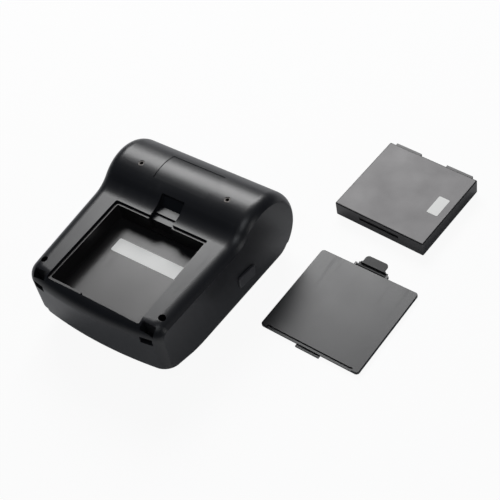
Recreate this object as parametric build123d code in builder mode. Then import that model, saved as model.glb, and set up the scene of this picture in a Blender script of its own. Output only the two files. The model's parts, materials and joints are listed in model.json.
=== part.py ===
from build123d import *
from math import asin, atan, atan2, cos, degrees, radians, sin, sqrt, tan
import os

os.makedirs("parts", exist_ok=True)

# Portable receipt printer lying on its lid, underside up, with the battery
# and the battery cover laid beside it. +Z up, +Y towards the roll end,
# origin on the table under the lid's outer face.

# Case outline
FLAT_H = 50.0          # underside above the table
BULGE_R = 30.0         # outside of the round roll end
BULGE_Y = 40.0         # axis of the round roll end
HOLLOW_R = 18.0        # concave slope between underside and roll end
FRONT_Y = -66.0        # front face on the centre line
FRONT_BOW_R = 278.0    # front face bowed in plan
CREASE_OUT = 1.9       # the top rounding starts this far outside the side walls
SIDE_HALF = 54.7       # half width between the side walls at the origin
FLARE = 0.049          # how much wider each side gets per length
CORNER_R = 10.6
EDGE_R = 10.0
WALL = 2.2
PART_Z = 11.0          # joint between bottom and top shell, rear stretch
PART_FRONT_Z = 17.0    # the same joint at the front face
PART_KNEE_Y = -20.0
PANEL_BREAK_Y = -10.0  # where the key panel starts to slope
PANEL_FRONT_Z = 13.5   # the key panel's height at the front face
SHOULDER_R = 9.0
REVEAL = 0.5           # the top shell stands this far inside the bottom one
GAP = 0.4              # gap between a moving panel and its frame
FIT = 0.05             # radial clearance of a shaft in a bearing
CLEAR = 0.3            # gap between pieces of different bodies

# Battery bay
BAY_Y = -24.5
BAY_W = 72.0
BAY_L = 69.0
BAY_CORNER_R = 1.5
BAY_DEPTH = 14.4
COVER_T = 1.8
TRAY_WALL = 1.5
TRAY_FLOOR = 1.4
TRAY_GAP = 0.3
TRAY_FLANGE = 3.0

# Small features of the underside
SCREW_X = 46.0
SCREW_Y = -49.2
SCREW_BORE_R = 2.3
SCREW_SEAT_Z = 30.0
BOSS_R = 4.0
INSERT_X = 33.7
INSERT_Y = 36.3
INSERT_R = 2.1
INSERT_BORE_R = 1.25
INSERT_L = 3.3
LABEL_W = 40.6
LABEL_Y0 = 31.0
LABEL_Y1 = 52.5
LABEL_DEPTH = 0.4
STRAP_X1 = 46.8
STRAP_Y0 = -60.8
STRAP_Y1 = -56.0
STRAP_FLOOR_Z = 37.0
STRAP_SLOT_Z0 = 37.5
STRAP_SLOT_Z1 = 42.6
STRAP_WALL = 1.4
FINGER_W = 17.6
FINGER_STEP_Y = 14.6    # the latch hooks behind this step
FINGER_KNEE_Y = 20.2
FINGER_END_Y = 24.5
FINGER_DEPTH = 1.8
HOOK_DEPTH = 3.2
FINGER_FLOOR = 1.4
CATCH_W = 18.0
CATCH_DEPTH = 2.4
CATCH_H = 9.0

# Lid, hinge and platen
LID_HALF = 44.5
LID_FRONT_Y = -4.6
HINGE_R = 4.0
HINGE_ANGLE = 46.9     # hinge barrel, measured down from the bulge axis
HINGE_PIN_R = 1.2
HINGE_PIN_X0 = 40.0
HINGE_PIN_X1 = 48.5
PLATEN_Z = 8.5
PLATEN_R = 5.0
PLATEN_HALF = 40.0
SHAFT_R = 2.0
BUSH_R = 3.0
EAR_X0 = 40.6
EAR_T = 1.4
EAR_R = 4.2

# Gear train, all in one plane
MODULE = 0.6
PLATEN_TEETH = 20
IDLER_TEETH = 24
PINION_TEETH = 10
GEAR_X0 = 42.4
GEAR_T = 1.8
IDLER_TURN = 130.0     # direction from platen to idler, from +Y
PINION_TURN = 170.0    # direction from idler to motor pinion, from +Y
IDLER_PIN_R = 1.5
MOTOR_SHAFT_R = 1.0
MOTOR_R = 9.0
MOTOR_L = 17.0
MOTOR_BOSS_R = 3.0

# Print mechanism frame and head
FRAME_X = 42.0
FRAME_T = 1.0
FRAME_TOP_Z = 32.2
FRAME_Y0 = -31.0
FRAME_Y1 = 8.0
FRAME_LOW_Z = 8.0
NOTCH_HALF = 5.2
NOTCH_TOP_Z = 13.6
HEAD_T = 1.0
HEAD_HALF = 39.0
HEAD_Z0 = 4.5
HEAD_H = 9.0
SINK_T = 2.3
TEAR_T = 0.6
TEAR_H = 6.0
TEAR_TEETH = 40

# Roll holder
CHEEK_X = 41.5
CHEEK_T = 1.6
HOLDER_GAP = 0.6
HOLDER_LOW_Z = 14.0

# Boards and ports
BOARD_Z = 24.0
BOARD_T = 1.6
BOARD_W = 84.0
BOARD_Y0 = -60.0
BOARD_Y1 = -31.8
KEY_Y = -46.0
KEY_XS = (-13.0, 13.0)
KEY_L = 12.0
KEY_W = 7.0
KEY_PROUD = 0.6
KEY_TRAVEL = 0.8
LIGHT_XS = (-2.5, 2.5)
LIGHT_R = 1.1
PORT_Y = -36.5
PORT_Z = 27.4
PORT_W = 11.0
PORT_H = 6.4
USB_W = 8.8
USB_H = 3.4
USB_L = 7.6
FLAP_L = 15.6
FLAP_H = 10.6
FLAP_T = 1.1

# Lid release button
BUTTON_Y = 15.5
BUTTON_Z = 21.5
BUTTON_L = 15.0
BUTTON_H = 9.0
BUTTON_PROUD = 1.3
BUTTON_TRAVEL = 1.8
BUTTON_TILT = -7.0
SPRING_R = 2.6
SPRING_WIRE = 0.5
SPRING_TURNS = 5

# Loose battery and battery cover
BATTERY_AT = (102.2, 128.2)
BATTERY_YAW = -4.0
BATTERY_W = 67.4
BATTERY_L = 63.4
BATTERY_H = 11.2
BATTERY_EDGE_R = 0.8
RAIL_L = 19.5
RAIL_T = 1.6
RAIL_X = 19.6
RAIL_DROP = 0.3
LABEL_T = 0.1
COVER_AT = (110.3, 32.5)
COVER_YAW = -1.9
COVER_GAP = 0.4
COVER_RIB_H = 1.2
COVER_CORNER_R = 2.2
LATCH_W = 21.0
LATCH_L = 4.4
LATCH_T = 1.1
LATCH_TAB_W = 16.2
LATCH_TAB_L = 5.6
LUG_T = 1.4
TRUNNION_R = 0.6
TAB_W = 17.0
TAB_L = 1.6
LIP_W = 60.0
LIP_L = 1.9
LIP_H = 0.8
RING_W = 65.0
RING_L = 60.0

# Values that follow from the ones above
rise = FLAT_H + HOLLOW_R - BULGE_R
span = BULGE_R + HOLLOW_R
run = sqrt(span ** 2 - rise ** 2)
lean = degrees(atan2(rise, run))
hollow_y = BULGE_Y - run
part_slope = (PART_FRONT_Z - PART_Z) / (PART_KNEE_Y - FRONT_Y)
panel_slope = PANEL_FRONT_Z / (PANEL_BREAK_Y - FRONT_Y)
panel_turn = atan(panel_slope)
hinge_y = BULGE_Y + (BULGE_R - HINGE_R) * cos(radians(HINGE_ANGLE))
hinge_z = BULGE_R - (BULGE_R - HINGE_R) * sin(radians(HINGE_ANGLE))
rim_z = FLAT_H - COVER_T
bay_far_y = BAY_Y + BAY_L / 2
strap_x0 = BAY_W / 2 + STRAP_WALL
strap_x = (strap_x0 + STRAP_X1) / 2
finger_z = FLAT_H - FINGER_DEPTH
hook_z = FLAT_H - HOOK_DEPTH
finger_end_z = BULGE_R + sqrt(BULGE_R ** 2 - (BULGE_Y - FINGER_END_Y) ** 2) - FINGER_DEPTH
holder_wall_y = BULGE_Y - BULGE_R + WALL + HOLDER_GAP
roll_top = 2 * BULGE_R
floor_z = FLAT_H - BAY_DEPTH
platen_pitch = MODULE * PLATEN_TEETH / 2
idler_pitch = MODULE * IDLER_TEETH / 2
pinion_pitch = MODULE * PINION_TEETH / 2
idler_y = (platen_pitch + idler_pitch) * cos(radians(IDLER_TURN))
idler_z = PLATEN_Z + (platen_pitch + idler_pitch) * sin(radians(IDLER_TURN))
pinion_y = idler_y + (idler_pitch + pinion_pitch) * cos(radians(PINION_TURN))
pinion_z = idler_z + (idler_pitch + pinion_pitch) * sin(radians(PINION_TURN))
head_y = -PLATEN_R - CLEAR
BIG = 200.0


def side_half(y):
    """Half width between the outer side walls at a given length."""
    return SIDE_HALF + FLARE * y


def part_z(y):
    """Height of the joint between bottom and top shell."""
    return PART_Z + max(0.0, (PART_KNEE_Y - y) * part_slope)


def panel_z(y):
    """Height of the key panel's outer face."""
    return (PANEL_BREAK_Y - y) * panel_slope


def keep(part, name):
    part.label = name
    export_step(part, f"parts/{name}.step")


def flared_plan(inset, far=90.0):
    """Plan between the two flared side walls, moved in by inset."""
    with BuildSketch() as plan:
        with BuildLine():
            right, left = side_half(far) - inset, side_half(-far) - inset
            Polyline((-left, -far), (left, -far), (right, far), (-right, far), close=True)
        make_face()
    return plan.sketch


def bowed_plan(half, inset, corner_r):
    """Plan with a bowed front, flared sides and rounded front corners."""
    radius = FRONT_BOW_R - inset
    front = FRONT_Y + inset
    back = BULGE_Y + BULGE_R + 10
    near = half + FLARE * front
    far = half + FLARE * back
    corner_y = front + radius - sqrt(radius ** 2 - near ** 2)
    with BuildSketch() as plan:
        with BuildLine():
            ThreePointArc((-near, corner_y), (0, front), (near, corner_y))
            Polyline((near, corner_y), (far, back), (-far, back), (-near, corner_y))
        make_face()
        fillet(plan.vertices().group_by(Axis.Y)[0], corner_r)
    return plan.sketch


def bottom_form(inset, skirt=0.0):
    """Solid shape of the bottom shell, moved in by inset on every outer face."""
    radius = BULGE_R - inset
    drop = degrees(asin((BULGE_R - PART_Z + skirt) / radius))
    front = FRONT_Y - 20
    with BuildPart() as form:
        with BuildSketch(Plane.YZ):
            with BuildLine():
                flat = Line((front, FLAT_H - inset), (hollow_y, FLAT_H - inset))
                CenterArc((hollow_y, FLAT_H + HOLLOW_R), HOLLOW_R + inset, -90, 90 - lean)
                roll = CenterArc((BULGE_Y, BULGE_R), radius, 180 - lean, lean - 180 - drop)
                Polyline(roll @ 1, (PART_KNEE_Y, PART_Z - skirt), (front, part_z(front) - skirt), flat @ 0)
            make_face()
        extrude(amount=BIG, both=True)
        with BuildSketch():
            add(bowed_plan(SIDE_HALF + CREASE_OUT - inset, inset, CORNER_R - inset))
        extrude(amount=BIG, both=True, mode=Mode.INTERSECT)
        slanted = form.edges().filter_by(lambda e: e.center().Z > part_z(e.center().Y) + 8)
        slanted = slanted.filter_by(Axis.X, reverse=True).filter_by(Axis.Z, reverse=True)
        fillet(slanted, EDGE_R - inset)
        with BuildSketch():
            add(flared_plan(inset))
        extrude(amount=BIG, both=True, mode=Mode.INTERSECT)
    return form.part


def top_form(inset, rise_up=0.0):
    """Solid shape of the top shell with its lid, moved in by inset."""
    front = FRONT_Y - 20
    lift = inset / cos(panel_turn)
    break_y = PANEL_BREAK_Y + inset * tan(panel_turn / 2)
    shoulder = SHOULDER_R - inset
    with BuildPart() as form:
        with BuildSketch(Plane.YZ):
            with BuildLine():
                roll = CenterArc((BULGE_Y, BULGE_R), BULGE_R - inset, 0, -90)
                Polyline(
                    roll @ 1,
                    (break_y, inset),
                    (front, panel_z(front) + lift),
                    (front, BULGE_R),
                    roll @ 0,
                )
            make_face()
        extrude(amount=BIG, both=True)
        with BuildSketch():
            add(flared_plan(inset + REVEAL - CREASE_OUT))
        extrude(amount=BIG, both=True, mode=Mode.INTERSECT)
        fillet(form.edges().filter_by(GeomType.ELLIPSE), EDGE_R - inset)
        with BuildSketch():
            add(bowed_plan(SIDE_HALF - inset - REVEAL, inset + REVEAL, CORNER_R - inset - REVEAL))
        extrude(amount=BIG, both=True, mode=Mode.INTERSECT)
        with BuildSketch(Plane.YZ):
            Polygon(
                (front, part_z(front) + rise_up),
                (PART_KNEE_Y, PART_Z + rise_up),
                (BIG, PART_Z + rise_up),
                (BIG, BIG),
                (front, BIG),
                align=None,
            )
        extrude(amount=BIG, both=True, mode=Mode.SUBTRACT)
        for side in (-1, 1):
            wall_x = side * (SIDE_HALF - inset - REVEAL)
            wall = Plane((wall_x, 0, 0), (1, -side * FLARE, 0), (-side * FLARE, -1, 0))
            with BuildSketch(wall):
                with BuildLine():
                    high = inset + shoulder
                    CenterArc((-side * shoulder, high), shoulder, -90 if side > 0 else 180, 90)
                    Polyline(
                        (0, high),
                        (side, high),
                        (side, -1),
                        (-side * shoulder, -1),
                        (-side * shoulder, inset),
                    )
                make_face()
            extrude(amount=BIG, both=True, mode=Mode.SUBTRACT)
    return form.part


def gear_face(teeth, bore_r, turn=0.0):
    """Gear outline with slim teeth; one tooth points along turn."""
    pitch_r = MODULE * teeth / 2
    root_r, tip_r = pitch_r - 1.1 * MODULE, pitch_r + 0.75 * MODULE
    step = 360 / teeth
    points = []
    for tooth in range(teeth):
        middle = turn + tooth * step
        for radius, share in ((root_r, -0.36), (tip_r, -0.11), (tip_r, 0.11), (root_r, 0.36)):
            angle = radians(middle + share * step)
            points.append((radius * cos(angle), radius * sin(angle)))
    with BuildSketch() as face:
        Polygon(*points, align=None)
        Circle(bore_r, mode=Mode.SUBTRACT)
    return face.sketch


def across(x, y, z):
    """Plane facing +X, with its own x along +Y and its own y along +Z."""
    return Plane((x, y, z), (0, 1, 0), (1, 0, 0))


def wall_plane(side, y, z):
    """Plane on an outer side wall, facing out, with its own y up."""
    return Plane((side * side_half(y), y, z), (FLARE, side, 0), (side, -FLARE, 0))


right_wall = wall_plane(1, BUTTON_Y, BUTTON_Z)
left_wall = wall_plane(-1, PORT_Y, PORT_Z)
panel_normal = (0, -sin(panel_turn), -cos(panel_turn))


def panel_plane(x, y, depth=0.0):
    """Plane on the key panel, facing out, moved inwards by depth."""
    plane = Plane((x, y, panel_z(y)), (-1, 0, 0), panel_normal)
    return plane.offset(-depth)


# Bottom shell with the battery opening, bosses and strap pockets
with BuildPart() as bosses:
    for side in (-1, 1):
        with Locations((side * SCREW_X, SCREW_Y, part_z(SCREW_Y) + 3)):
            Cylinder(BOSS_R, FLAT_H, align=(Align.CENTER, Align.CENTER, Align.MIN))
        with Locations((side * INSERT_X, INSERT_Y, roll_top - INSERT_L - 1.1)):
            Cylinder(INSERT_R + 1.2, 10, align=(Align.CENTER, Align.CENTER, Align.MIN))
        with Locations((side * strap_x, STRAP_Y1 + STRAP_WALL, STRAP_FLOOR_Z - STRAP_WALL)):
            Box(STRAP_X1 - strap_x0 + 2 * STRAP_WALL, 20, 20, align=(Align.CENTER, Align.MAX, Align.MIN))
    with BuildSketch(Plane.YZ):
        with BuildLine():
            Polyline(
                (bay_far_y, hook_z - FINGER_FLOOR),
                (FINGER_STEP_Y + FINGER_FLOOR, hook_z - FINGER_FLOOR),
                (FINGER_KNEE_Y + 1, finger_z - FINGER_FLOOR),
                (FINGER_END_Y + 2, finger_end_z - FINGER_FLOOR - 0.6),
                (FINGER_END_Y + 2, FLAT_H + 9),
                (bay_far_y, FLAT_H + 9),
                close=True,
            )
        make_face()
    extrude(amount=FINGER_W / 2 + 1.5, both=True)
    add(bottom_form(0.3), mode=Mode.INTERSECT)

with BuildPart() as bottom_shell:
    add(bottom_form(0))
    add(bottom_form(WALL, skirt=5.0), mode=Mode.SUBTRACT)
    add(bosses.part)
    # battery opening
    with BuildSketch(Plane.XY.offset(FLAT_H - 8)):
        with Locations((0, BAY_Y)):
            RectangleRounded(BAY_W, BAY_L, BAY_CORNER_R)
    extrude(amount=20, mode=Mode.SUBTRACT)
    # finger recess that the cover's latch lies in
    with BuildSketch(Plane.YZ):
        with BuildLine():
            Polyline(
                (bay_far_y - 1, hook_z),
                (FINGER_STEP_Y, hook_z),
                (FINGER_STEP_Y, finger_z),
                (FINGER_KNEE_Y, finger_z),
                (FINGER_END_Y, finger_end_z),
                (FINGER_END_Y + 0.4, FLAT_H + 12),
                (bay_far_y - 1, FLAT_H + 12),
                close=True,
            )
        make_face()
    extrude(amount=FINGER_W / 2, both=True, mode=Mode.SUBTRACT)
    # label recess along the crest of the roll end
    with BuildPart(mode=Mode.PRIVATE) as label_cut:
        with Locations((0, (LABEL_Y0 + LABEL_Y1) / 2, roll_top)):
            Box(LABEL_W, LABEL_Y1 - LABEL_Y0, 20)
        with Locations(Plane(origin=(0, BULGE_Y, BULGE_R), z_dir=(1, 0, 0))):
            Cylinder(BULGE_R - LABEL_DEPTH, BIG, mode=Mode.SUBTRACT)
    add(label_cut.part, mode=Mode.SUBTRACT)
    for side in (-1, 1):
        # screw bores, insert bores and strap loops
        with Locations((side * SCREW_X, SCREW_Y, SCREW_SEAT_Z)):
            Cylinder(SCREW_BORE_R, BIG, align=(Align.CENTER, Align.CENTER, Align.MIN), mode=Mode.SUBTRACT)
        with Locations((side * SCREW_X, SCREW_Y, 0)):
            Cylinder(1.3, BIG, mode=Mode.SUBTRACT)
        with Locations((side * INSERT_X, INSERT_Y, roll_top - INSERT_L - 0.4)):
            Cylinder(INSERT_R, 10, align=(Align.CENTER, Align.CENTER, Align.MIN), mode=Mode.SUBTRACT)
        with Locations((side * strap_x, (STRAP_Y0 + STRAP_Y1) / 2, STRAP_FLOOR_Z)):
            Box(
                STRAP_X1 - strap_x0,
                STRAP_Y1 - STRAP_Y0,
                20,
                align=(Align.CENTER, Align.CENTER, Align.MIN),
                mode=Mode.SUBTRACT,
            )
        with Locations((side * strap_x, STRAP_Y1, STRAP_SLOT_Z0)):
            Box(
                STRAP_X1 - strap_x0 - 1,
                20,
                STRAP_SLOT_Z1 - STRAP_SLOT_Z0,
                align=(Align.CENTER, Align.MAX, Align.MIN),
                mode=Mode.SUBTRACT,
            )
    # openings in the side walls
    with BuildSketch(right_wall):
        RectangleRounded(BUTTON_L + 2 * GAP, BUTTON_H + 2 * GAP, 2.4, rotation=BUTTON_TILT)
    extrude(amount=-WALL - 2, mode=Mode.SUBTRACT)
    with BuildSketch(left_wall):
        RectangleRounded(FLAP_L + 2 * GAP, FLAP_H + 2 * GAP, 1.5)
    extrude(amount=-FLAP_T - 0.1, mode=Mode.SUBTRACT)
    with BuildSketch(left_wall):
        RectangleRounded(PORT_W, PORT_H, 1.5)
    extrude(amount=-WALL - 2, mode=Mode.SUBTRACT)
    # room for the lid hinge
    with Locations(across(0, hinge_y, hinge_z)):
        Cylinder(HINGE_R + GAP, 2 * (HINGE_PIN_X1 + GAP), mode=Mode.SUBTRACT)
    with Locations((0, BULGE_Y + 10, 0)):
        Box(
            2 * (LID_HALF + GAP),
            BULGE_R,
            PART_Z + 1.6,
            align=(Align.CENTER, Align.MIN, Align.MIN),
            mode=Mode.SUBTRACT,
        )
keep(bottom_shell.part, "bottom_shell")

# Top shell: key panel at the front, a band down each side of the lid, hinge ears
with BuildPart() as top_shell:
    add(top_form(0))
    add(top_form(WALL, rise_up=3.0), mode=Mode.SUBTRACT)
    with BuildSketch():
        with Locations((0, PANEL_BREAK_Y)):
            Rectangle(2 * (LID_HALF + GAP), BIG, align=(Align.CENTER, Align.MIN))
    extrude(amount=BIG, mode=Mode.SUBTRACT)
    for side in (-1, 1):
        with Locations(across(side * (LID_HALF + GAP + HINGE_PIN_X1) / 2, hinge_y, hinge_z)):
            Cylinder(HINGE_R, HINGE_PIN_X1 - LID_HALF - GAP)
            Cylinder(HINGE_PIN_R, HINGE_PIN_X1 - LID_HALF - GAP, mode=Mode.SUBTRACT)
        with Locations((side * SCREW_X, SCREW_Y, panel_z(SCREW_Y) + 1)):
            Cylinder(
                BOSS_R,
                part_z(SCREW_Y) + 2 - panel_z(SCREW_Y),
                align=(Align.CENTER, Align.CENTER, Align.MIN),
            )
        with Locations((side * SCREW_X, SCREW_Y, panel_z(SCREW_Y) + 4)):
            Cylinder(1.1, 20, align=(Align.CENTER, Align.CENTER, Align.MIN), mode=Mode.SUBTRACT)
        for post_y in (BOARD_Y0 + 5, BOARD_Y1 - 5):
            with Locations((side * 32, post_y, panel_z(post_y) + 1)):
                Cylinder(2.5, BOARD_Z - panel_z(post_y) - 1, align=(Align.CENTER, Align.CENTER, Align.MIN))
            with Locations((side * 32, post_y, BOARD_Z - 7)):
                Cylinder(0.8, 20, align=(Align.CENTER, Align.CENTER, Align.MIN), mode=Mode.SUBTRACT)
    for key_x in KEY_XS:
        with BuildSketch(panel_plane(key_x, KEY_Y)):
            RectangleRounded(KEY_L + 2 * GAP, KEY_W + 2 * GAP, 3.0)
        extrude(amount=-WALL - 2, mode=Mode.SUBTRACT)
    for light_x in LIGHT_XS:
        with BuildSketch(panel_plane(light_x, KEY_Y)):
            Circle(LIGHT_R)
        extrude(amount=-WALL - 2, mode=Mode.SUBTRACT)
keep(top_shell.part, "top_shell")

# Battery tray hanging under the opening, its rim one cover thickness down
tray_w = BAY_W - 2 * TRAY_GAP
tray_l = BAY_L - 2 * TRAY_GAP
tray_far_y = BAY_Y + tray_l / 2
tray_near_y = BAY_Y - tray_l / 2
strap_back_y = STRAP_Y1 + STRAP_WALL + CLEAR
post_x = tray_w / 2 - 3.2
with BuildPart() as battery_tray:
    with BuildSketch(Plane.XY.offset(floor_z - TRAY_FLOOR)):
        with Locations((0, BAY_Y)):
            RectangleRounded(tray_w, tray_l, BAY_CORNER_R)
    extrude(amount=rim_z - floor_z + TRAY_FLOOR)
    with BuildSketch(Plane.XY.offset(FLAT_H - WALL)):
        with Locations((0, strap_back_y + 2)):
            Rectangle(
                tray_w + 2 * TRAY_FLANGE,
                tray_far_y + 1 - strap_back_y,
                align=(Align.CENTER, Align.MIN),
            )
        with Locations((0, tray_far_y + TRAY_FLANGE)):
            Rectangle(FINGER_W + 6, TRAY_FLANGE, align=(Align.CENTER, Align.MAX), mode=Mode.SUBTRACT)
    extrude(amount=-1.5)
    with BuildSketch(Plane.XY.offset(floor_z)):
        with Locations((0, BAY_Y)):
            RectangleRounded(tray_w - 2 * TRAY_WALL, tray_l - 2 * TRAY_WALL, 1.0)
    extrude(amount=BAY_DEPTH, mode=Mode.SUBTRACT)
    # latch pocket in the far wall
    with Locations((0, tray_far_y, hook_z - FINGER_FLOOR - 0.2)):
        Box(CATCH_W + 2 * TRAY_WALL, CATCH_DEPTH, CATCH_H, align=(Align.CENTER, Align.MIN, Align.MAX))
    with Locations((0, tray_far_y - TRAY_WALL - 1, rim_z + 1)):
        Box(
            CATCH_W,
            CATCH_DEPTH + 1,
            rim_z - hook_z + FINGER_FLOOR + 1.2 + CATCH_H - TRAY_WALL,
            align=(Align.CENTER, Align.MIN, Align.MAX),
            mode=Mode.SUBTRACT,
        )
    # slots in the near wall for the cover's tabs and the contact blades
    with Locations((0, tray_near_y - 1, rim_z + 1)):
        Box(19, TRAY_WALL + 2, 2.6, align=(Align.CENTER, Align.MIN, Align.MAX), mode=Mode.SUBTRACT)
    with Locations((0, tray_near_y - 1, floor_z + 1.0)):
        Box(26, TRAY_WALL + 2, 6.4, align=(Align.CENTER, Align.MIN, Align.MIN), mode=Mode.SUBTRACT)
    # posts that the print mechanism hangs from
    for x in (-post_x, post_x):
        for post_y in (FRAME_Y0 + 4, FRAME_Y1 - 4):
            with Locations((x, post_y, FRAME_TOP_Z)):
                Cylinder(
                    2.6, floor_z - TRAY_FLOOR - FRAME_TOP_Z, align=(Align.CENTER, Align.CENTER, Align.MIN)
                )
                Cylinder(0.8, 3.2, align=(Align.CENTER, Align.CENTER, Align.MIN), mode=Mode.SUBTRACT)
keep(battery_tray.part, "battery_tray")

# Blank label on the tray floor
with BuildPart() as tray_label:
    with BuildSketch(Plane.XY.offset(floor_z)):
        with Locations((2.6, BAY_Y + 13.6)):
            RectangleRounded(53.6, 10.4, 1.2)
    extrude(amount=0.15)
keep(tray_label.part, "tray_label")

# Contact block in the tray's near wall, with four blades
with BuildPart() as contact_block:
    with Locations((0, tray_near_y + TRAY_WALL, floor_z + 1.0)):
        Box(26, TRAY_WALL, 6.4, align=(Align.CENTER, Align.MAX, Align.MIN))
    with Locations((0, tray_near_y, BOARD_Z + BOARD_T)):
        Box(26, 3.0, floor_z + 7.4 - BOARD_Z - BOARD_T, align=(Align.CENTER, Align.MAX, Align.MIN))
    with Locations((0, tray_near_y + TRAY_WALL, floor_z + 1.8)):
        with GridLocations(6.0, 1, 4, 1):
            Box(2.0, 4.0, 4.8, align=(Align.CENTER, Align.MAX, Align.MIN), mode=Mode.SUBTRACT)
keep(contact_block.part, "contact_block")

with BuildPart() as contact_blades:
    blade_y = tray_near_y + TRAY_WALL - 4.0
    with BuildSketch(Plane.YZ):
        with BuildLine():
            Polyline(
                (blade_y, floor_z + 1.8),
                (blade_y + 4.4, floor_z + 3.4),
                (blade_y + 4.7, floor_z + 4.3),
                (blade_y + 2.6, floor_z + 5.8),
                (blade_y + 2.6, floor_z + 5.3),
                (blade_y + 4.1, floor_z + 4.2),
                (blade_y + 3.9, floor_z + 3.8),
                (blade_y, floor_z + 2.3),
                close=True,
            )
        make_face()
    extrude(amount=0.7, both=True)
    blade = contact_blades.part
with BuildPart() as blades:
    with GridLocations(6.0, 1, 4, 1):
        add(blade)
keep(blades.part, "contact_blades")

# Roll holder: a wall towards the mechanism and two cheeks beside the roll
cheek_r = BULGE_R - WALL - 0.3
with BuildPart() as roll_holder:
    for side in (-1, 1):
        with BuildSketch(across(side * (CHEEK_X + CHEEK_T / 2), 0, 0)):
            with Locations((BULGE_Y, BULGE_R)):
                Circle(cheek_r)
            with Locations((BULGE_Y, HOLDER_LOW_Z)):
                Rectangle(BIG, BIG, align=(Align.CENTER, Align.MAX), mode=Mode.SUBTRACT)
            with Locations((holder_wall_y, BULGE_R)):
                Rectangle(BIG, BIG, align=(Align.MAX, Align.CENTER), mode=Mode.SUBTRACT)
            with Locations((hinge_y, hinge_z)):
                Circle(HINGE_R + GAP, mode=Mode.SUBTRACT)
        extrude(amount=CHEEK_T / 2, both=True)
    wall_rise = sqrt(cheek_r ** 2 - (BULGE_Y - holder_wall_y - CHEEK_T) ** 2)
    with Locations((0, holder_wall_y, HOLDER_LOW_Z)):
        Box(
            2 * CHEEK_X,
            CHEEK_T,
            BULGE_R + wall_rise - 1 - HOLDER_LOW_Z,
            align=(Align.CENTER, Align.MIN, Align.MIN),
        )
keep(roll_holder.part, "roll_holder")

# Paper sensor on the roll holder's wall
with BuildPart() as paper_sensor:
    with Locations((0, holder_wall_y, HOLDER_LOW_Z)):
        Box(7, 3.4, 4, align=(Align.CENTER, Align.MAX, Align.MIN))
        Box(3, 2.2, 0.8, align=(Align.CENTER, Align.MAX, Align.MAX))
    fillet(paper_sensor.edges().filter_by(Axis.Z), 0.4)
keep(paper_sensor.part, "paper_sensor")

# Mechanism frame: a bent plate with a notched leg at each end
with BuildPart() as mechanism_frame:
    with BuildSketch(Plane.XY.offset(FRAME_TOP_Z)):
        with Locations((0, (FRAME_Y0 + FRAME_Y1) / 2)):
            Rectangle(2 * FRAME_X, FRAME_Y1 - FRAME_Y0)
            with GridLocations(FRAME_X * 0.7, 1, 2, 1):
                SlotOverall(FRAME_X / 2, 12, mode=Mode.SUBTRACT)
    extrude(amount=-1.2)
    for side in (-1, 1):
        with BuildSketch(across(side * (FRAME_X - FRAME_T / 2), 0, 0)):
            with Locations(((FRAME_Y0 + FRAME_Y1) / 2, FRAME_LOW_Z)):
                Rectangle(FRAME_Y1 - FRAME_Y0, FRAME_TOP_Z - FRAME_LOW_Z, align=(Align.CENTER, Align.MIN))
            with Locations((0, NOTCH_TOP_Z)):
                Rectangle(2 * NOTCH_HALF, BIG, align=(Align.CENTER, Align.MAX), mode=Mode.SUBTRACT)
        extrude(amount=FRAME_T / 2, both=True)
    with Locations(across(FRAME_X, pinion_y, pinion_z)):
        Cylinder(MOTOR_BOSS_R, 10, mode=Mode.SUBTRACT)
    with Locations(*[(x, y, FRAME_TOP_Z) for x in (-post_x, post_x) for y in (FRAME_Y0 + 4, FRAME_Y1 - 4)]):
        Cylinder(1.0, 5, mode=Mode.SUBTRACT)
keep(mechanism_frame.part, "mechanism_frame")

with BuildPart() as idler_pin:
    with Locations(across(FRAME_X, idler_y, idler_z)):
        Cylinder(
            IDLER_PIN_R,
            GEAR_X0 + GEAR_T + 0.3 - FRAME_X,
            align=(Align.CENTER, Align.CENTER, Align.MIN),
        )
    with Locations(across(GEAR_X0 + GEAR_T + 0.3, idler_y, idler_z)):
        Cylinder(IDLER_PIN_R + 0.7, 0.5, align=(Align.CENTER, Align.CENTER, Align.MIN))
keep(idler_pin.part, "idler_pin")

# Thermal print head on its heat sink, and the tear bar at the paper exit
with BuildPart() as thermal_head:
    with Locations((0, head_y, HEAD_Z0)):
        Box(2 * HEAD_HALF, HEAD_T, HEAD_H, align=(Align.CENTER, Align.MAX, Align.MIN))
keep(thermal_head.part, "thermal_head")

with BuildPart() as head_sink:
    sink_y = head_y - HEAD_T
    with Locations((0, sink_y, HEAD_Z0)):
        Box(2 * HEAD_HALF, SINK_T, FRAME_TOP_Z - 1.2 - HEAD_Z0, align=(Align.CENTER, Align.MAX, Align.MIN))
    with Locations((0, sink_y - SINK_T, HEAD_Z0 + HEAD_H + 4)):
        with GridLocations(9.0, 1, 4, 1):
            Box(3.0, 2 * SINK_T, 9.0, align=(Align.CENTER, Align.CENTER, Align.MIN), mode=Mode.SUBTRACT)
keep(head_sink.part, "head_sink")

with BuildPart() as tear_bar:
    with BuildSketch(Plane((0, PANEL_BREAK_Y, 0), (1, 0, 0), (0, -1, 0))):
        tooth = 2 * HEAD_HALF / TEAR_TEETH
        with BuildLine():
            points = []
            for index in range(TEAR_TEETH):
                points.append((-HEAD_HALF + index * tooth, 1.2))
                points.append((-HEAD_HALF + (index + 0.5) * tooth, 0.4))
            points.append((HEAD_HALF, 1.2))
            Polyline(*points, (HEAD_HALF, TEAR_H), (-HEAD_HALF, TEAR_H), close=True)
        make_face()
    extrude(amount=-TEAR_T)
keep(tear_bar.part, "tear_bar")

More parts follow.
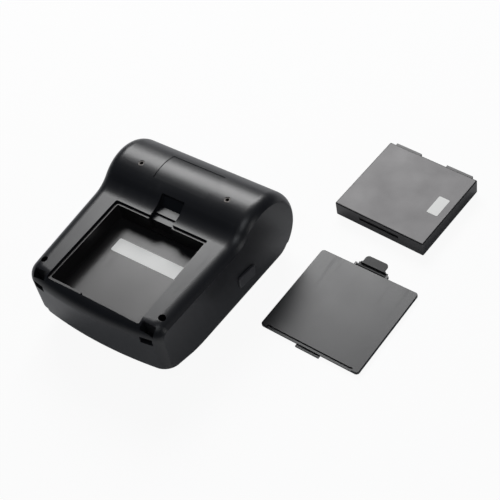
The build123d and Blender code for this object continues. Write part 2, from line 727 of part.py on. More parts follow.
# Stepper motor
with BuildPart() as drive_motor:
    with Locations(across(FRAME_X - FRAME_T, pinion_y, pinion_z)):
        Cylinder(MOTOR_R, MOTOR_L, align=(Align.CENTER, Align.CENTER, Align.MAX))
    fillet(drive_motor.faces().sort_by(Axis.X)[0].edges(), 1.0)
    with Locations(across(FRAME_X - FRAME_T, pinion_y, pinion_z)):
        Cylinder(MOTOR_BOSS_R, FRAME_T, align=(Align.CENTER, Align.CENTER, Align.MIN))
        Cylinder(MOTOR_SHAFT_R + FIT, 12, mode=Mode.SUBTRACT)
keep(drive_motor.part, "drive_motor")

# Main board and everything that sits on it
board_y = (BOARD_Y0 + BOARD_Y1) / 2
board_top = BOARD_Z + BOARD_T
screw_points = [(side * 32, y) for side in (-1, 1) for y in (BOARD_Y0 + 5, BOARD_Y1 - 5)]
frame_points = [(side * post_x, y) for side in (-1, 1) for y in (FRAME_Y0 + 4, FRAME_Y1 - 4)]


def screw(x, y, seat_z, way, head_r, head_h, shank_r, length):
    """Pan-head screw; way is -1 with the head up and 1 with the head down."""
    near, far = (Align.MIN, Align.MAX) if way < 0 else (Align.MAX, Align.MIN)
    with BuildPart() as body:
        with Locations((x, y, seat_z)):
            Cylinder(head_r, head_h, align=(Align.CENTER, Align.CENTER, near))
            Cylinder(shank_r, length, align=(Align.CENTER, Align.CENTER, far))
        with Locations((x, y, seat_z - way * head_h)):
            Cylinder(head_r * 0.45, head_h, rotation=(0, 0, 30), mode=Mode.SUBTRACT)
    return body.part


with BuildPart() as main_board:
    with BuildSketch(Plane.XY.offset(BOARD_Z)):
        with Locations((0, board_y)):
            RectangleRounded(BOARD_W, BOARD_Y1 - BOARD_Y0, 2.0)
        with Locations((-BOARD_W / 2 - 2.5, PORT_Y)):
            Rectangle(9, PORT_W - 1)
        with Locations(*[(side * SCREW_X, SCREW_Y) for side in (-1, 1)]):
            Circle(BOSS_R + 0.5, mode=Mode.SUBTRACT)
        with Locations(*screw_points):
            Circle(1.0, mode=Mode.SUBTRACT)
    extrude(amount=BOARD_T)
keep(main_board.part, "main_board")

with BuildPart() as board_screws:
    for x, y in screw_points:
        add(screw(x, y, board_top, -1, 1.7, 1.3, 0.8, 6.0))
keep(board_screws.part, "board_screws")

with BuildPart() as board_components:
    with Locations((-14, board_y + 4, board_top)):
        Box(12, 12, 1.4, align=(Align.CENTER, Align.CENTER, Align.MIN))
    with Locations((6, board_y + 5, board_top)):
        Box(9, 7, 1.2, align=(Align.CENTER, Align.CENTER, Align.MIN))
    with Locations((20, board_y, board_top)):
        Box(7, 7, 3.0, align=(Align.CENTER, Align.CENTER, Align.MIN))
    with Locations((-26, board_y, board_top)):
        Box(5, 16, 2.6, align=(Align.CENTER, Align.CENTER, Align.MIN))
    with Locations((0, BOARD_Y1 - 2.4, BOARD_Z)):
        Box(24, 3.6, 2.4, align=(Align.CENTER, Align.CENTER, Align.MAX))
    for x in (27, 36):
        with Locations((x, BOARD_Y1 - 12, board_top)):
            Cylinder(3.1, 6.0, align=(Align.CENTER, Align.CENTER, Align.MIN))
    with Locations((4, board_y - 4, board_top)):
        with GridLocations(3.0, 2.4, 5, 2):
            Box(1.6, 0.9, 0.6, align=(Align.CENTER, Align.CENTER, Align.MIN))
keep(board_components.part, "board_components")

with BuildPart() as usb_socket:
    socket_x = -side_half(PORT_Y) + WALL + 0.4
    with Locations((socket_x, PORT_Y, board_top)):
        Box(USB_L, USB_W, USB_H, align=(Align.MIN, Align.CENTER, Align.MIN))
    fillet(usb_socket.edges().filter_by(Axis.X), 1.2)
    with BuildSketch(Plane((socket_x, PORT_Y, board_top + USB_H / 2), (0, -1, 0), (-1, 0, 0))):
        RectangleRounded(USB_W - 0.6, USB_H - 0.6, 1.0)
        RectangleRounded(USB_W - 2.4, 0.8, 0.3, mode=Mode.SUBTRACT)
    extrude(amount=-USB_L + 1.0, mode=Mode.SUBTRACT)
keep(usb_socket.part, "usb_socket")

key_depth = WALL + GAP + 0.8
with BuildPart() as key_switches:
    for key_x in KEY_XS:
        pressed = panel_plane(key_x, KEY_Y, key_depth + KEY_TRAVEL + 0.8).origin
        with Locations((key_x, pressed.Y, BOARD_Z)):
            Box(6.0, 6.0, 4.0, align=(Align.CENTER, Align.CENTER, Align.MAX))
            Cylinder(1.7, BOARD_Z - pressed.Z, align=(Align.CENTER, Align.CENTER, Align.MAX))
keep(key_switches.part, "key_switches")

with BuildPart() as light_pipes:
    for light_x in LIGHT_XS:
        with BuildSketch(panel_plane(light_x, KEY_Y, 0.1)):
            Circle(LIGHT_R)
        extrude(amount=-8.0)
keep(light_pipes.part, "light_pipes")

# Screws of the case and of the mechanism, inserts and hinge pins
with BuildPart() as case_screws:
    for side in (-1, 1):
        reach = SCREW_SEAT_Z - panel_z(SCREW_Y) - 5
        add(screw(side * SCREW_X, SCREW_Y, SCREW_SEAT_Z, -1, 2.1, 1.6, 1.1, reach))
keep(case_screws.part, "case_screws")

with BuildPart() as mechanism_screws:
    for x, y in frame_points:
        add(screw(x, y, FRAME_TOP_Z - 1.2, 1, 1.7, 1.2, 0.8, 3.0))
keep(mechanism_screws.part, "mechanism_screws")

with BuildPart() as clip_inserts:
    for side in (-1, 1):
        with Locations((side * INSERT_X, INSERT_Y, roll_top - INSERT_L - 0.4)):
            Cylinder(INSERT_R, INSERT_L, align=(Align.CENTER, Align.CENTER, Align.MIN))
            Cylinder(
                INSERT_BORE_R,
                INSERT_L,
                align=(Align.CENTER, Align.CENTER, Align.MIN),
                mode=Mode.SUBTRACT,
            )
keep(clip_inserts.part, "clip_inserts")

with BuildPart() as hinge_pins:
    for side in (-1, 1):
        with Locations(across(side * (HINGE_PIN_X0 + HINGE_PIN_X1) / 2, hinge_y, hinge_z)):
            Cylinder(HINGE_PIN_R, HINGE_PIN_X1 - HINGE_PIN_X0)
keep(hinge_pins.part, "hinge_pins")

# Paper lid: a curved plate with its hinge barrel, paper ribs and two platen ears
with BuildPart() as paper_lid:
    with BuildSketch(Plane.YZ):
        with BuildLine():
            outer = CenterArc((BULGE_Y, BULGE_R), BULGE_R, -90, 90 - HINGE_ANGLE)
            inner = CenterArc((BULGE_Y, BULGE_R), BULGE_R - WALL, -90, 90 - HINGE_ANGLE)
            Line(outer @ 1, inner @ 1)
            Polyline(outer @ 0, (LID_FRONT_Y, 0), (LID_FRONT_Y, WALL), inner @ 0)
        make_face()
    extrude(amount=LID_HALF, both=True)
    with Locations(across(0, hinge_y, hinge_z)):
        Cylinder(HINGE_R, 2 * LID_HALF)
    for side in (-1, 1):
        with BuildSketch(across(side * (EAR_X0 + EAR_T / 2), 0, 0)):
            with Locations((0, PLATEN_Z)):
                Circle(EAR_R)
            with Locations((0, WALL / 2)):
                Rectangle(2 * EAR_R, PLATEN_Z - WALL / 2, align=(Align.CENTER, Align.MIN))
        extrude(amount=EAR_T / 2, both=True)
        with Locations(across(side * (EAR_X0 + EAR_T / 2), 0, PLATEN_Z)):
            Cylinder(BUSH_R, EAR_T, mode=Mode.SUBTRACT)
        with Locations(across(side * (LID_HALF + HINGE_PIN_X0 - 0.1) / 2, hinge_y, hinge_z)):
            Cylinder(HINGE_PIN_R + FIT, LID_HALF - HINGE_PIN_X0 + 0.1, mode=Mode.SUBTRACT)
    with Locations(across((EAR_X0 + EAR_T + LID_HALF) / 2, 0, PLATEN_Z)):
        Cylinder(PLATEN_Z - WALL + 0.6, LID_HALF - EAR_X0 - EAR_T, mode=Mode.SUBTRACT)
    with Locations((0, 9, WALL - 0.2)):
        with GridLocations(13.0, 1, 5, 1):
            Box(1.2, 22, 2.4, align=(Align.CENTER, Align.MIN, Align.MIN))
keep(paper_lid.part, "paper_lid")

with BuildPart() as platen_bushes:
    for side in (-1, 1):
        with Locations(across(side * (EAR_X0 + EAR_T / 2), 0, PLATEN_Z)):
            Cylinder(BUSH_R, EAR_T)
            Cylinder(SHAFT_R + FIT, EAR_T, mode=Mode.SUBTRACT)
keep(platen_bushes.part, "platen_bushes")

with BuildPart() as platen_roller:
    with Locations(across(0, 0, PLATEN_Z)):
        Cylinder(PLATEN_R, 2 * PLATEN_HALF)
        Cylinder(SHAFT_R, 2 * PLATEN_HALF, mode=Mode.SUBTRACT)
keep(platen_roller.part, "platen_roller")

with BuildPart() as platen_shaft:
    with Locations(across(0, 0, PLATEN_Z)):
        Cylinder(SHAFT_R, 2 * (EAR_X0 + EAR_T))
    with Locations(across(EAR_X0 + EAR_T, 0, PLATEN_Z)):
        Cylinder(1.5, GEAR_X0 + GEAR_T - EAR_X0 - EAR_T, align=(Align.CENTER, Align.CENTER, Align.MIN))
keep(platen_shaft.part, "platen_shaft")

# Gears; each one's teeth fall between its neighbour's
idler_phase = IDLER_TURN + 180 + 180 / IDLER_TEETH
mesh_share = ((idler_phase - PINION_TURN) * IDLER_TEETH / 360) % 1
pinion_phase = PINION_TURN + 180 + (0.5 - mesh_share) * 360 / PINION_TEETH
with BuildPart() as platen_gear:
    with BuildSketch(across(GEAR_X0, 0, PLATEN_Z)):
        add(gear_face(PLATEN_TEETH, 1.5, IDLER_TURN))
    extrude(amount=GEAR_T)
keep(platen_gear.part, "platen_gear")

with BuildPart() as idler_gear:
    with BuildSketch(across(GEAR_X0, idler_y, idler_z)):
        add(gear_face(IDLER_TEETH, IDLER_PIN_R + FIT, idler_phase))
    extrude(amount=GEAR_T)
keep(idler_gear.part, "idler_gear")

with BuildPart() as motor_pinion:
    with BuildSketch(across(GEAR_X0, pinion_y, pinion_z)):
        add(gear_face(PINION_TEETH, MOTOR_SHAFT_R, pinion_phase))
    extrude(amount=GEAR_T)
    with Locations(across(GEAR_X0 + GEAR_T, pinion_y, pinion_z)):
        Cylinder(MOTOR_SHAFT_R, 7.0, align=(Align.CENTER, Align.CENTER, Align.MAX))
keep(motor_pinion.part, "motor_pinion")

# Lid release button and its spring
with BuildPart() as release_button:
    with BuildSketch(right_wall.offset(-WALL - GAP)):
        RectangleRounded(BUTTON_L, BUTTON_H, 2.0, rotation=BUTTON_TILT)
    extrude(amount=WALL + GAP + BUTTON_PROUD)
    fillet(release_button.faces().sort_by(Axis.X)[-1].edges(), 0.8)
    with BuildSketch(right_wall.offset(-WALL - GAP)):
        RectangleRounded(BUTTON_L + 3, BUTTON_H + 3, 2.5, rotation=BUTTON_TILT)
    extrude(amount=-1.2)
keep(release_button.part, "release_button")

button_back = side_half(BUTTON_Y) - WALL - GAP - 1.2 - BUTTON_TRAVEL - CLEAR
with BuildPart() as release_spring:
    spring_l = button_back - CHEEK_X - CHEEK_T
    with BuildLine() as coil:
        Helix(
            (spring_l - SPRING_WIRE) / SPRING_TURNS,
            spring_l - SPRING_WIRE,
            SPRING_R - SPRING_WIRE / 2,
            center=(CHEEK_X + CHEEK_T + SPRING_WIRE / 2, BUTTON_Y, BUTTON_Z),
            direction=(1, 0, 0),
        )
    with BuildSketch(Plane(coil.line @ 0, z_dir=coil.line % 0)):
        RegularPolygon(SPRING_WIRE / 2, 6)
    sweep()
keep(release_spring.part, "release_spring")

# Power key and feed key on the sloping panel
for key_x, name in zip(KEY_XS, ("power_key", "feed_key")):
    with BuildPart() as key:
        with BuildSketch(panel_plane(key_x, KEY_Y, WALL + GAP)):
            RectangleRounded(KEY_L, KEY_W, 2.6)
        extrude(amount=WALL + GAP + KEY_PROUD)
        fillet(key.faces().sort_by(Axis.Z)[0].edges(), 0.5)
        with BuildSketch(panel_plane(key_x, KEY_Y, WALL + GAP)):
            RectangleRounded(KEY_L + 2, KEY_W + 2, 3.0)
        extrude(amount=-0.8)
    keep(key.part, name)

# Rubber port cover, rounded along the edge it turns on
with BuildPart() as port_cover:
    with BuildSketch(left_wall):
        RectangleRounded(FLAP_L, FLAP_H, 1.2)
    extrude(amount=-FLAP_T)
    fillet(port_cover.edges().group_by(Axis.Z)[-1], FLAP_T * 0.45)
keep(port_cover.part, "port_cover")

# Battery pack with its rails, contacts, top label and sticker
battery_place = Plane((*BATTERY_AT, 0), (cos(radians(BATTERY_YAW)), sin(radians(BATTERY_YAW)), 0), (0, 0, 1))
cover_place = Plane((*COVER_AT, 0), (cos(radians(COVER_YAW)), sin(radians(COVER_YAW)), 0), (0, 0, 1))


def laid(part, place):
    """Part made about the origin, moved to where it lies on the table."""
    return place.location * part


label_margin = 2 * BATTERY_EDGE_R + 0.2
rail_h = BATTERY_H - 1.6 - RAIL_DROP
with BuildPart() as battery_pack:
    Box(BATTERY_W, BATTERY_L, BATTERY_H, align=(Align.CENTER, Align.CENTER, Align.MIN))
    fillet(battery_pack.edges(), BATTERY_EDGE_R)
    for side in (-1, 1):
        with Locations((side * RAIL_X, BATTERY_L / 2, 1.6)):
            Box(RAIL_L, 2 * RAIL_T, rail_h, align=(Align.CENTER, Align.CENTER, Align.MIN))
    with Locations((0, -BATTERY_L / 2, BATTERY_H * 0.6)):
        Box(30, 1.6, 2.4, mode=Mode.SUBTRACT)
    with BuildSketch(Plane.XY.offset(BATTERY_H - LABEL_T)):
        RectangleRounded(BATTERY_W - label_margin, BATTERY_L - label_margin, BATTERY_EDGE_R)
    extrude(amount=1, mode=Mode.SUBTRACT)
    with Locations((0, BATTERY_L / 2, 2.4)):
        with GridLocations(4.6, 1, 4, 1):
            Box(2.6, 1.0, 4.4, align=(Align.CENTER, Align.CENTER, Align.MIN), mode=Mode.SUBTRACT)
keep(laid(battery_pack.part, battery_place), "battery_pack")

with BuildPart() as battery_label:
    with BuildSketch(Plane.XY.offset(BATTERY_H - LABEL_T)):
        RectangleRounded(BATTERY_W - label_margin, BATTERY_L - label_margin, BATTERY_EDGE_R)
    extrude(amount=LABEL_T)
keep(laid(battery_label.part, battery_place), "battery_label")

with BuildPart() as battery_sticker:
    with BuildSketch(Plane.XY.offset(BATTERY_H)):
        with Locations((BATTERY_W / 2 - 9.2, 0)):
            RectangleRounded(7.9, 15.4, 0.8)
    extrude(amount=0.12)
keep(laid(battery_sticker.part, battery_place), "battery_sticker")

with BuildPart() as battery_contacts:
    with Locations((0, BATTERY_L / 2 - 0.1, 2.4)):
        with GridLocations(4.6, 1, 4, 1):
            Box(2.6, 0.4, 4.4, align=(Align.CENTER, Align.MAX, Align.MIN))
keep(laid(battery_contacts.part, battery_place), "battery_contacts")

# Battery cover: panel with a lip along its front edge, locating ring and lugs for the latch
cover_w = BAY_W - 2 * COVER_GAP
cover_l = BAY_L - 2 * COVER_GAP
cover_h = COVER_T + COVER_RIB_H
far_v = cover_l / 2
latch_v = far_v + 1.4
latch_z = 1.2
lug_x = LATCH_W / 2 + CLEAR
with BuildPart() as battery_cover:
    with BuildSketch(Plane.XY.offset(COVER_RIB_H)):
        RectangleRounded(cover_w, cover_l, COVER_CORNER_R)
    extrude(amount=COVER_T)
    chamfer(battery_cover.faces().sort_by(Axis.Z)[-1].edges(), 0.35)
    with BuildSketch():
        Rectangle(RING_W, RING_L)
        Rectangle(RING_W - 2.4, RING_L - 2.4, mode=Mode.SUBTRACT)
        with Locations((0, -RING_L / 2)):
            Rectangle(TAB_W, (cover_l - RING_L) / 2 + TAB_L, align=(Align.CENTER, Align.MAX))
    extrude(amount=COVER_RIB_H)
    for side in (-1, 1):
        with Locations((side * (lug_x + LUG_T / 2), far_v - 2.2, 0)):
            Box(LUG_T, 4.6, cover_h - 0.6, align=(Align.CENTER, Align.MIN, Align.MIN))
    with Locations(across(0, latch_v, latch_z)):
        Cylinder(TRUNNION_R + FIT, 2 * (lug_x + LUG_T), mode=Mode.SUBTRACT)
    # lip, lower than the outer face, that goes under the front edge of the bay
    with BuildSketch(Plane.XY.offset(cover_h)):
        with Locations((0, -far_v)):
            Rectangle(LIP_W, 2 * LIP_L)
        with Locations((-LIP_W / 2, -far_v + LIP_L / 2), (LIP_W / 2, -far_v + LIP_L / 2)):
            Circle(LIP_L * 0.7)
    extrude(amount=-LIP_H, mode=Mode.SUBTRACT)
keep(laid(battery_cover.part, cover_place), "battery_cover")

# Latch: a trough behind the cover's far edge, an upright and a finger tab
with BuildPart() as cover_latch:
    with Locations(across(0, latch_v, latch_z)):
        Cylinder(0.9, LATCH_W)
        Cylinder(TRUNNION_R, LATCH_W + 2 * CLEAR + 2 * LUG_T - 0.4)
    with Locations((0, latch_v, latch_z - 0.9)):
        Box(LATCH_W, LATCH_L - 1.4, LATCH_T, align=(Align.CENTER, Align.MIN, Align.MIN))
    with Locations((0, far_v + LATCH_L, latch_z - 0.9)):
        Box(LATCH_W - 3, LATCH_T, cover_h - latch_z + 0.8, align=(Align.CENTER, Align.MAX, Align.MIN))
    with BuildSketch(Plane.XY.offset(cover_h - LATCH_T - 0.1)) as tab:
        with Locations((0, far_v + LATCH_L - LATCH_T)):
            Rectangle(LATCH_TAB_W, LATCH_TAB_L + LATCH_T, align=(Align.CENTER, Align.MIN))
        fillet(tab.vertices().group_by(Axis.Y)[-1], 2.4)
    extrude(amount=LATCH_T)
keep(laid(cover_latch.part, cover_place), "cover_latch")
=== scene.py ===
import json
from math import cos, radians, sin
import bpy
from mathutils import Matrix, Vector

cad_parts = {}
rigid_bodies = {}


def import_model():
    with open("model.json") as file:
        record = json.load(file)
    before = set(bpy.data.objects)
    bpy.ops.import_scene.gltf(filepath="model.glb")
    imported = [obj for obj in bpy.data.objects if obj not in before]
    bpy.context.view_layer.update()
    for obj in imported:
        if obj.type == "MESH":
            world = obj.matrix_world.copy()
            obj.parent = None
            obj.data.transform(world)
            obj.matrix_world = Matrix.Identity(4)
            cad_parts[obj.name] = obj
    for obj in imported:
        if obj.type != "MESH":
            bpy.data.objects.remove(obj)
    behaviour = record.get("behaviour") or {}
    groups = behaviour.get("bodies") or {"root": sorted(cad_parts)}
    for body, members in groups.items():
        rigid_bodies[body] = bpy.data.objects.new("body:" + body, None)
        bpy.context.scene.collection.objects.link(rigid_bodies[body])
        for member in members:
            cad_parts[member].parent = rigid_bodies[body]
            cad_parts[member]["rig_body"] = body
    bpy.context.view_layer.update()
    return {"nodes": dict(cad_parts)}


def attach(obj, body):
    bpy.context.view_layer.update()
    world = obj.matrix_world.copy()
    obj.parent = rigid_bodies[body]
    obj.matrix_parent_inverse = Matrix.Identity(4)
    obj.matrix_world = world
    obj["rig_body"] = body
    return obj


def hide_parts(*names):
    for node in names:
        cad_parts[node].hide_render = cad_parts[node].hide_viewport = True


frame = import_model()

# Camera: looks down on the underside from the front right corner
IMAGE_PX = 500.0
SENSOR_MM = 36.0
LENS_PX = 1182.42
VIEW_TURN = radians(44.60)
VIEW_RISE = radians(49.58)
VIEW_ROLL = radians(-12.84)
VIEW_POINT = Vector((0.03289, 0.04654, 0.0))
VIEW_DISTANCE = 0.76624
NEAREST, FURTHEST = 0.02, 20.0


def add_camera():
    ahead = cos(VIEW_RISE)
    back = Vector((sin(VIEW_TURN) * ahead, -cos(VIEW_TURN) * ahead, sin(VIEW_RISE)))
    level = Vector((cos(VIEW_TURN), sin(VIEW_TURN), 0))
    upright = back.cross(level)
    right = level * cos(VIEW_ROLL) + upright * sin(VIEW_ROLL)
    up = upright * cos(VIEW_ROLL) - level * sin(VIEW_ROLL)
    data = bpy.data.cameras.new("photo_camera")
    data.sensor_fit = "HORIZONTAL"
    data.sensor_width = SENSOR_MM
    data.lens = LENS_PX * SENSOR_MM / IMAGE_PX
    data.clip_start, data.clip_end = NEAREST, FURTHEST
    camera = bpy.data.objects.new("photo_camera", data)
    bpy.context.scene.collection.objects.link(camera)
    turn = Matrix((right, up, back)).transposed().to_4x4()
    camera.matrix_world = Matrix.Translation(VIEW_POINT + back * VIEW_DISTANCE) @ turn
    bpy.context.scene.camera = camera


add_camera()


# Shader wiring
class Wire:
    """A socket that takes part in sums, products and comparisons."""

    def __init__(self, tree, socket):
        self.tree, self.socket = tree, socket

    def _math(self, operation, *values):
        node = self.tree.nodes.new("ShaderNodeMath")
        node.operation = operation
        for slot, value in zip(node.inputs, values):
            if isinstance(value, Wire):
                self.tree.links.new(value.socket, slot)
            else:
                slot.default_value = value
        return Wire(self.tree, node.outputs[0])

    def __add__(self, other):
        return self._math("ADD", self, other)

    __radd__ = __add__

    def __mul__(self, other):
        return self._math("MULTIPLY", self, other)

    __rmul__ = __mul__

    def __sub__(self, other):
        return self._math("SUBTRACT", self, other)

    def __rsub__(self, other):
        return self._math("SUBTRACT", other, self)

    def __lt__(self, other):
        return self._math("LESS_THAN", self, other)

    def fract(self):
        return self._math("FRACT", self)

    def clamp(self):
        """Kept between 0 and 1."""
        return self._math("MINIMUM", self._math("MAXIMUM", self, 0.0), 1.0)

    def either(self, other):
        """The larger of two masks."""
        return self._math("MAXIMUM", self, other)


class Network:
    """A node tree whose new nodes all come from one method."""

    def __init__(self, tree):
        self.tree = tree

    def fit(self, node, inputs):
        """Set or link sockets, each given by its name, or by its number as _0, _1 and so on."""
        for key, value in inputs.items():
            slot = node.inputs[int(key[1:]) if key.startswith("_") else key.replace("_", " ")]
            if isinstance(value, Wire):
                self.tree.links.new(value.socket, slot)
            elif slot.type == "RGBA":
                slot.default_value = (*value, 1.0)
            else:
                slot.default_value = value

    def node(self, kind, output=0, settings=None, **inputs):
        """One output of a new node of this kind, with these settings and sockets."""
        node = self.tree.nodes.new("ShaderNode" + kind)
        for key, value in (settings or {}).items():
            setattr(node, key, value)
        self.fit(node, inputs)
        return Wire(self.tree, node.outputs[output])

    def own(self, name, **inputs):
        """The output of a node that the tree starts with, with these sockets."""
        node = self.tree.nodes[name]
        self.fit(node, inputs)
        return Wire(self.tree, node.outputs[0])

    def show(self, shader, output_name):
        """Make a shader the one that the tree puts out."""
        self.fit(self.tree.nodes[output_name], {"Surface": shader})


class Finish(Network):
    """A material on Object coordinates; a noise's scale is in cells per metre."""

    def __init__(self, name):
        self.material = bpy.data.materials.new(name)
        self.material.use_nodes = True
        super().__init__(self.material.node_tree)
        self.place = self.node("TexCoord", "Object")

    def noise(self, scale, detail=2.0, place=None, roughness=0.5):
        place = place or self.place
        return self.node("TexNoise", Vector=place, Scale=scale, Detail=detail, Roughness=roughness)

    def stretched(self, x, y, z, turn=0.0):
        return self.node("Mapping", Vector=self.place, Scale=(x, y, z), Rotation=(0, 0, turn))

    def axis(self, name):
        return self.node("SeparateXYZ", "XYZ".index(name), Vector=self.place)

    def mix(self, share, first, second):
        """Colour between first and second; sockets 6 and 7 are the node's two colours."""
        return self.node("Mix", 2, {"data_type": "RGBA"}, _0=share, _6=first, _7=second)

    def bump(self, height, strength, depth):
        return self.node("Bump", Height=height, Strength=strength, Distance=depth)

    def set(self, **inputs):
        self.own("Principled BSDF", **inputs)
        return self.material


def shade(color, times, plus=0.0):
    """A colour made lighter or darker."""
    return tuple(channel * times + plus for channel in color)


# Finishes; grain is the depth of a surface's relief in metres
PLASTIC_GRAIN = 0.00003
TRAY_GRAIN = 0.00002
METAL_GRAIN = 0.00002
RUBBER_GRAIN = 0.00003
LABEL_WAVE = 0.0001
COPPER_STEP = 0.00005


def moulded(name, color, gloss, grain=PLASTIC_GRAIN):
    """Moulded plastic: fine spark-eroded grain, uneven sheen and faint handling marks."""
    finish = Finish(name)
    fine = finish.noise(2600.0, 3.0, roughness=0.6)
    broad = finish.noise(38.0, 3.0)
    streak = finish.noise(220.0, 2.0, finish.stretched(1.0, 0.12, 1.0, 0.5))
    marks = ((streak - 0.63) * 7.0).clamp()
    worn = (broad - 0.3).clamp() * 0.7 + marks * 0.25
    tone = finish.mix(worn, color, shade(color, 1.35, 0.002))
    rough = (broad - 0.5) * 0.10 + (fine - 0.5) * 0.08 + marks * 0.06 + gloss
    return finish.set(Base_Color=tone, Roughness=rough, Normal=finish.bump(fine, 0.35, grain))


def drawn_metal(name, color, gloss, along=(1.0, 40.0, 40.0)):
    """Rolled or turned metal with fine lines along one direction."""
    finish = Finish(name)
    lines = finish.noise(160.0, 3.0, finish.stretched(*along))
    broad = finish.noise(60.0, 2.0)
    tone = finish.mix(broad, shade(color, 0.82), color)
    rough = (lines - 0.5) * 0.25 + (broad - 0.5) * 0.1 + gloss
    relief = finish.bump(lines, 0.25, METAL_GRAIN)
    return finish.set(Base_Color=tone, Metallic=1.0, Roughness=rough, Normal=relief)


def rubbery(name, color):
    """Ground or moulded rubber, dull, with a dusty bloom."""
    finish = Finish(name)
    fine = finish.noise(3000.0, 2.0)
    bloom = finish.noise(120.0, 4.0)
    tone = finish.mix((bloom - 0.35).clamp(), color, shade(color, 1.0, 0.03))
    rough = (fine - 0.5) * 0.1 + 0.72
    relief = finish.bump(fine, 0.4, RUBBER_GRAIN)
    return finish.set(Base_Color=tone, Roughness=rough, Normal=relief)


def label_stock(name, color, gloss=0.55):
    """Blank coated paper or film with fibre tone and slight waviness."""
    finish = Finish(name)
    fibre = finish.noise(1800.0, 3.0)
    wave = finish.noise(60.0, 2.0)
    tone = finish.mix(fibre, shade(color, 0.94), color)
    rough = (wave - 0.5) * 0.12 + gloss
    relief = finish.bump(wave, 0.15, LABEL_WAVE)
    return finish.set(Base_Color=tone, Roughness=rough, Normal=relief)


def board_coat(name):
    """Circuit board: green coat over copper runs, with pale pads."""
    coat, copper, solder = (0.010, 0.085, 0.035), (0.02, 0.16, 0.07), (0.55, 0.5, 0.36)
    finish = Finish(name)
    across = (finish.axis("X") * 520.0 + finish.noise(90.0) * 1.2).fract()
    along = (finish.axis("Y") * 480.0 + finish.noise(70.0) * 1.2).fract()
    runs = (across < 0.32).either(along < 0.28)
    cells = finish.node("TexVoronoi", Vector=finish.place, Scale=420.0)
    pads = cells < 0.16
    tone = finish.mix(pads, finish.mix(runs * 0.6, coat, copper), solder)
    relief = finish.bump(runs, 0.3, COPPER_STEP)
    return finish.set(Base_Color=tone, Roughness=pads * 0.1 + 0.32, Normal=relief)


CASE = moulded("case_black", (0.0085, 0.0088, 0.011), 0.36)
TRAY = moulded("tray_black", (0.014, 0.0125, 0.013), 0.32, TRAY_GRAIN)
INNER = moulded("inner_black", (0.022, 0.022, 0.025), 0.5)
LATCH = moulded("latch_black", (0.006, 0.006, 0.007), 0.58)
KEYS = moulded("key_grey", (0.030, 0.030, 0.034), 0.42)
BATTERY = moulded("battery_case", (0.012, 0.011, 0.012), 0.42)
CHIP = moulded("chip_black", (0.012, 0.012, 0.013), 0.55)
NYLON = moulded("gear_nylon", (0.72, 0.70, 0.64), 0.45)
BUSH = moulded("bush_acetal", (0.55, 0.54, 0.50), 0.4)
STEEL = drawn_metal("plated_steel", (0.62, 0.63, 0.64), 0.3)
ALUMINIUM = drawn_metal("sink_aluminium", (0.80, 0.81, 0.83), 0.35, (1.0, 30.0, 30.0))
BRASS = drawn_metal("brass", (0.78, 0.56, 0.25), 0.28)
BLACKENED = drawn_metal("blackened_brass", (0.045, 0.042, 0.040), 0.4)
ROLLER = rubbery("roller_rubber", (0.018, 0.018, 0.019))
FLAP = rubbery("flap_rubber", (0.014, 0.014, 0.015))
WHITE_LABEL = label_stock("blank_label", (0.82, 0.82, 0.80))
GREY_LABEL = label_stock("battery_film", (0.085, 0.078, 0.082), 0.42)
BOARD = board_coat("board_green")
CLEAR = moulded("light_pipe", (0.75, 0.78, 0.76), 0.15)

WEARS = {
    # outside
    "bottom_shell": CASE,
    "top_shell": CASE,
    "paper_lid": CASE,
    "release_button": KEYS,
    "power_key": KEYS,
    "feed_key": KEYS,
    "light_pipes": CLEAR,
    "port_cover": FLAP,
    "clip_inserts": BLACKENED,
    "case_screws": STEEL,
    # battery bay
    "battery_tray": TRAY,
    "tray_label": WHITE_LABEL,
    "contact_block": INNER,
    "contact_blades": BRASS,
    # battery and its cover
    "battery_pack": BATTERY,
    "battery_label": GREY_LABEL,
    "battery_sticker": WHITE_LABEL,
    "battery_contacts": BRASS,
    "battery_cover": CASE,
    "cover_latch": LATCH,
    # paper path
    "roll_holder": INNER,
    "paper_sensor": CHIP,
    "thermal_head": NYLON,
    "head_sink": ALUMINIUM,
    "tear_bar": STEEL,
    "platen_bushes": BUSH,
    "platen_roller": ROLLER,
    "platen_shaft": STEEL,
    "hinge_pins": STEEL,
    # drive
    "mechanism_frame": STEEL,
    "mechanism_screws": STEEL,
    "drive_motor": STEEL,
    "motor_pinion": BRASS,
    "idler_pin": STEEL,
    "idler_gear": NYLON,
    "platen_gear": NYLON,
    "release_spring": STEEL,
    # electronics
    "main_board": BOARD,
    "board_components": CHIP,
    "board_screws": STEEL,
    "usb_socket": STEEL,
    "key_switches": CHIP,
}


def wear(piece, material):
    piece.data.materials.clear()
    piece.data.materials.append(material)


for node_name, material in WEARS.items():
    wear(frame["nodes"][node_name], material)


# Outer pieces with joined faces, eased edges and smooth curves
MERGE_GAP = 0.000002
FLAT_WITHIN = radians(0.6)
EASE_OVER = radians(40.0)
EASE_STEPS = 2
SMOOTH_UNDER = radians(24.0)
SHELL_EASE = 0.00018
LID_EASE = 0.00015
TRAY_EASE = 0.00012


def deselect():
    bpy.ops.object.select_all(action="DESELECT")


def only(piece):
    deselect()
    bpy.context.view_layer.objects.active = piece
    piece.select_set(True)


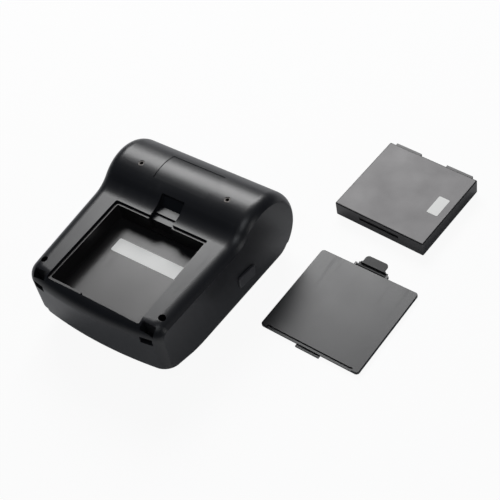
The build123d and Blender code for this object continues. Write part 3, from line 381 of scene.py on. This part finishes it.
def retouch(node_name, ease_width=0.0):
    """A CAD node's solid with its triangles joined, its edges eased and its curves smooth."""
    source = frame["nodes"][node_name]
    piece = bpy.data.objects.new(node_name + "_skin", source.data.copy())
    bpy.context.scene.collection.objects.link(piece)
    only(piece)
    bpy.ops.object.mode_set(mode="EDIT")
    bpy.ops.mesh.select_all(action="SELECT")
    bpy.ops.mesh.remove_doubles(threshold=MERGE_GAP)
    bpy.ops.mesh.customdata_custom_splitnormals_clear()
    bpy.ops.mesh.dissolve_limited(angle_limit=FLAT_WITHIN)
    bpy.ops.object.mode_set(mode="OBJECT")
    if ease_width:
        ease = piece.modifiers.new("ease", "BEVEL")
        ease.width = ease_width
        ease.segments = EASE_STEPS
        ease.limit_method = "ANGLE"
        ease.angle_limit = EASE_OVER
        ease.use_clamp_overlap = True
        bpy.ops.object.modifier_apply(modifier="ease")
    only(piece)
    bpy.ops.object.shade_smooth_by_angle(angle=SMOOTH_UNDER)
    even = piece.modifiers.new("even", "WEIGHTED_NORMAL")
    even.keep_sharp = True
    bpy.ops.object.modifier_apply(modifier="even")
    wear(piece, WEARS[node_name])
    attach(piece, source["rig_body"])
    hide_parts(node_name)


for node_name in ("bottom_shell", "top_shell"):
    retouch(node_name, SHELL_EASE)
retouch("battery_tray", TRAY_EASE)
retouch("battery_cover", SHELL_EASE)
retouch("cover_latch", LID_EASE)
retouch("battery_pack")
retouch("paper_lid", LID_EASE)
for node_name in ("release_button", "power_key", "feed_key", "port_cover", "platen_roller"):
    retouch(node_name)


# Floor, backdrop and lamps
FLOOR_SIZE = 6.0
FLOOR_COLOR = (0.80, 0.80, 0.81)
FLOOR_GLOW = 0.93       # share of the floor that is plain white to the camera
WORLD_FILL = 0.05
WORLD_TINT = (0.70, 0.84, 1.0)
WHITE = (1.0, 1.0, 1.0)
SKY_WHITE = (0.93, 0.96, 1.0)
LAMPS_AIM = (0.03, 0.03, 0.0)


def add_stage():
    """White table, near white to the camera, and clear from below for views and light."""
    deselect()
    bpy.ops.mesh.primitive_plane_add(size=FLOOR_SIZE, location=(0, 0, 0))
    floor = bpy.context.active_object
    floor.name = "floor"
    finish = Finish("floor_white")
    matt = {"Base_Color": FLOOR_COLOR, "Roughness": 0.7, "Specular_IOR_Level": 0.0}
    lit = finish.own("Principled BSDF", **matt)
    glow = finish.node("Emission", Color=WHITE, Strength=1.0)
    seen = finish.node("LightPath", "Is Camera Ray")
    both = finish.node("MixShader", _0=seen * FLOOR_GLOW, _1=lit, _2=glow)
    below = finish.node("NewGeometry", "Backfacing")
    clear = finish.node("BsdfTransparent", Color=WHITE)
    passing = below.either(finish.node("LightPath", "Is Shadow Ray"))
    finish.show(finish.node("MixShader", _0=passing, _1=both, _2=clear), "Material Output")
    wear(floor, finish.material)


def add_world():
    """Pure white behind the part, and a weak bluish fill for everything else."""
    world = bpy.data.worlds.new("studio")
    bpy.context.scene.world = world
    world.use_nodes = True
    studio = Network(world.node_tree)
    fill = studio.own("Background", Color=WORLD_TINT, Strength=WORLD_FILL)
    white = studio.node("Background", Color=WHITE, Strength=1.0)
    seen = studio.node("LightPath", "Is Camera Ray")
    studio.show(studio.node("MixShader", _0=seen, _1=fill, _2=white), "World Output")


def add_lamp(name, at, size, power, color=WHITE):
    data = bpy.data.lights.new(name, "AREA")
    data.shape = "RECTANGLE"
    data.size, data.size_y = size
    data.energy = power
    data.color = color
    lamp = bpy.data.objects.new(name, data)
    bpy.context.scene.collection.objects.link(lamp)
    lamp.location = at
    aim = Vector(LAMPS_AIM) - Vector(at)
    lamp.rotation_euler = aim.to_track_quat("-Z", "Y").to_euler()


add_stage()
add_world()
add_lamp("softbox", at=(-0.54, 0.82, 0.90), size=(0.85, 0.62), power=16.0)
add_lamp("overhead", at=(0.35, -0.45, 1.2), size=(0.5, 0.5), power=2.0, color=SKY_WHITE)
add_lamp("side_fill", at=(1.2, -0.05, 0.55), size=(0.35, 0.6), power=1.2)
add_lamp("under_fill", at=(0.25, -0.35, -0.9), size=(0.9, 0.9), power=9.0)
bpy.context.scene.view_settings.view_transform = "Standard"
